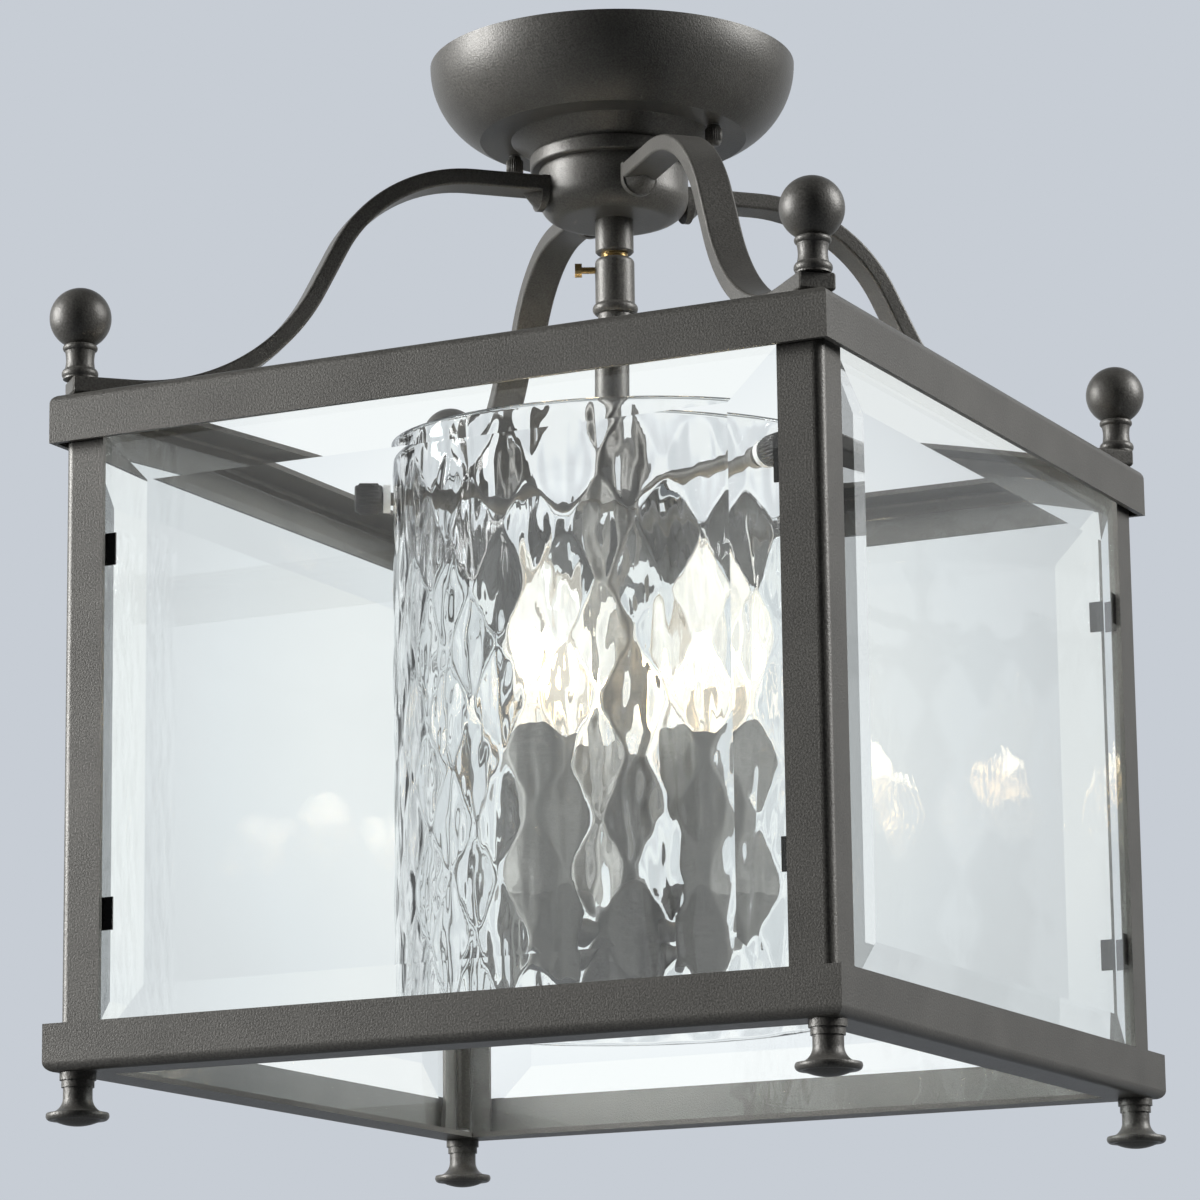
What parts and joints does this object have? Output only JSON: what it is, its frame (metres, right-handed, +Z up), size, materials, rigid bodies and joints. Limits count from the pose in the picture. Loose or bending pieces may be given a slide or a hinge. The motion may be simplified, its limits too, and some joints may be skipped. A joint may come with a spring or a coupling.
{
  "type": "semi flush mount ceiling light",
  "caption": "Semi flush ceiling light: square lantern cage with bevelled panes and ball finials, hung on curved arms from a round canopy, with a hammered glass cylinder round candle lamps.",
  "frame": {"origin": "centre of the canopy's rim, on the ceiling", "axes": "+Z up into the ceiling, -Y out of the front pane, +X to the right seen from the front"},
  "size_m": [0.3066, 0.3066, 0.3994],
  "materials": {
    "bronze_paint": "dark bronze-grey paint with a fine texture, satin",
    "dark_clip": "satin dark paint",
    "zinc_steel": "zinc plated",
    "brass": "threaded, aged",
    "pane_glass": "clear, bevelled edges",
    "hammered_glass": "clear, hammered",
    "white_washer": "matt",
    "socket_plastic": "matt moulded",
    "bulb_base": "screw shell",
    "bulb_glass": "clear, lit"
  },
  "bodies": {
    "frame": {"canopy": "bronze_paint", "mounting_strap": "zinc_steel", "canopy_studs": "zinc_steel", "hub_collar": "bronze_paint", "hub": "bronze_paint", "hub_nipple": "brass", "hub_locknut": "zinc_steel", "upper_stem": "bronze_paint", "arm_1": "bronze_paint", "arm_2": "bronze_paint", "arm_3": "bronze_paint", "arm_4": "bronze_paint", "arm_screws": "zinc_steel", "top_ring": "bronze_paint", "bottom_ring": "bronze_paint", "post_1": "bronze_paint", "post_2": "bronze_paint", "post_3": "bronze_paint", "post_4": "bronze_paint", "ball_finial_1": "bronze_paint", "ball_finial_2": "bronze_paint", "ball_finial_3": "bronze_paint", "ball_finial_4": "bronze_paint", "finial_nuts": "zinc_steel", "foot_finial_1": "bronze_paint", "foot_finial_2": "bronze_paint", "foot_finial_3": "bronze_paint", "foot_finial_4": "bronze_paint", "foot_screws": "zinc_steel", "pane_1": "pane_glass", "pane_2": "pane_glass", "pane_3": "pane_glass", "pane_4": "pane_glass", "pane_clips": "dark_clip"},
    "light_unit": {"stem_coupling": "bronze_paint", "lower_stem": "bronze_paint", "glass_holder": "bronze_paint", "glass_cylinder": "hammered_glass", "glass_washers": "white_washer", "cluster_body": "bronze_paint", "candle_cup_1": "bronze_paint", "candle_cup_2": "bronze_paint", "candle_cup_3": "bronze_paint", "lamp_sockets": "socket_plastic", "candle_sleeve_1": "bronze_paint", "candle_sleeve_2": "bronze_paint", "candle_sleeve_3": "bronze_paint"},
    "set_screw": {"set_screw": "brass"},
    "glass_nut_1": {"glass_nut_1": "bronze_paint"},
    "glass_nut_2": {"glass_nut_2": "bronze_paint"},
    "glass_nut_3": {"glass_nut_3": "bronze_paint"},
    "canopy_nut_1": {"canopy_nut_1": "bronze_paint"},
    "canopy_nut_2": {"canopy_nut_2": "bronze_paint"},
    "bulb_1": {"bulb_base_1": "bulb_base", "bulb_glass_1": "bulb_glass"},
    "bulb_2": {"bulb_base_2": "bulb_base", "bulb_glass_2": "bulb_glass"},
    "bulb_3": {"bulb_base_3": "bulb_base", "bulb_glass_3": "bulb_glass"}
  },
  "joints": [
    {"name": "stem_swivel", "type": "hinge", "parent": "frame", "child": "light_unit", "pos_m": [0, 0, -0.081], "axis": [0, 0, 1], "range_deg": [-180, 180]},
    {"name": "set_screw_turn", "type": "hinge", "parent": "light_unit", "child": "set_screw", "pos_m": [-0.00894, -0.00448, -0.0784], "axis": [-0.8942, -0.4478, 0], "continuous": true},
    {"name": "glass_nut_1_turn", "type": "hinge", "parent": "light_unit", "child": "glass_nut_1", "pos_m": [0, 0.09, -0.166], "axis": [0, 1, 0], "continuous": true},
    {"name": "glass_nut_2_turn", "type": "hinge", "parent": "light_unit", "child": "glass_nut_2", "pos_m": [-0.07794, -0.045, -0.166], "axis": [-0.866, -0.5, 0], "continuous": true},
    {"name": "glass_nut_3_turn", "type": "hinge", "parent": "light_unit", "child": "glass_nut_3", "pos_m": [0.07794, -0.045, -0.166], "axis": [0.866, -0.5, 0], "continuous": true},
    {"name": "canopy_nut_1_turn", "type": "hinge", "parent": "frame", "child": "canopy_nut_1", "pos_m": [-0.0413, 0, -0.032], "axis": [0, 0, 1], "continuous": true},
    {"name": "canopy_nut_2_turn", "type": "hinge", "parent": "frame", "child": "canopy_nut_2", "pos_m": [0.0413, 0, -0.032], "axis": [0, 0, 1], "continuous": true},
    {"name": "bulb_1_out", "type": "slide", "parent": "light_unit", "child": "bulb_1", "axis": [0, 0, 1], "range_m": [0, 0.028]},
    {"name": "bulb_2_out", "type": "slide", "parent": "light_unit", "child": "bulb_2", "axis": [0, 0, 1], "range_m": [0, 0.028]},
    {"name": "bulb_3_out", "type": "slide", "parent": "light_unit", "child": "bulb_3", "axis": [0, 0, 1], "range_m": [0, 0.028]}
  ]
}
